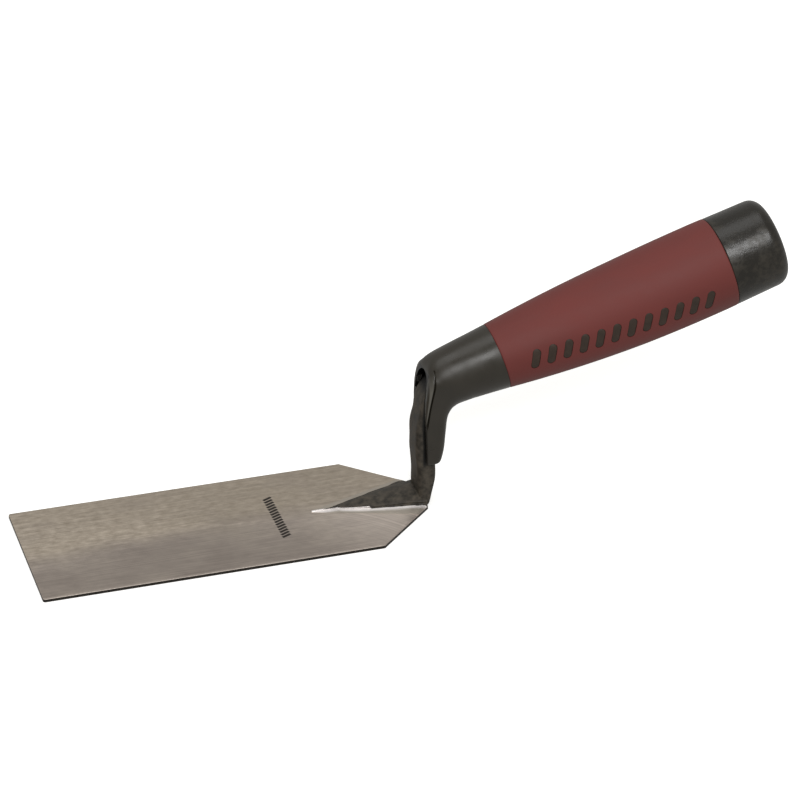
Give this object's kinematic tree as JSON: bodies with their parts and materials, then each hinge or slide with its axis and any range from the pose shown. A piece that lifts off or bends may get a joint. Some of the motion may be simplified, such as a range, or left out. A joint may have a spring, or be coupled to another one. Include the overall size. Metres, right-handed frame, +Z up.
{
  "type": "margin trowel",
  "caption": "Hand trowel with a narrow flat steel blade, a forged cranked shank and a swelling soft-grip handle pitched up behind a finger guard.",
  "frame": {"origin": "centre of the blade's flat working face, the underside, halfway between toe and heel", "axes": "+X from the toe to the handle, +Z up out of the blade's top face, Y across the blade; symmetric about Y = 0"},
  "size_m": [0.2449, 0.0508, 0.088],
  "materials": {
    "ground_steel": "ground lengthwise, satin",
    "forged_steel": "dark forge coat, rough",
    "core_plastic": "semi-matte moulded",
    "grip_rubber": "soft matte overmould",
    "cap_plastic": "semi-matte moulded"
  },
  "bodies": {
    "root": {"blade": "ground_steel", "shank": "forged_steel", "handle_core": "core_plastic", "grip_sleeve": "grip_rubber", "butt_cap": "cap_plastic"}
  },
  "joints": []
}
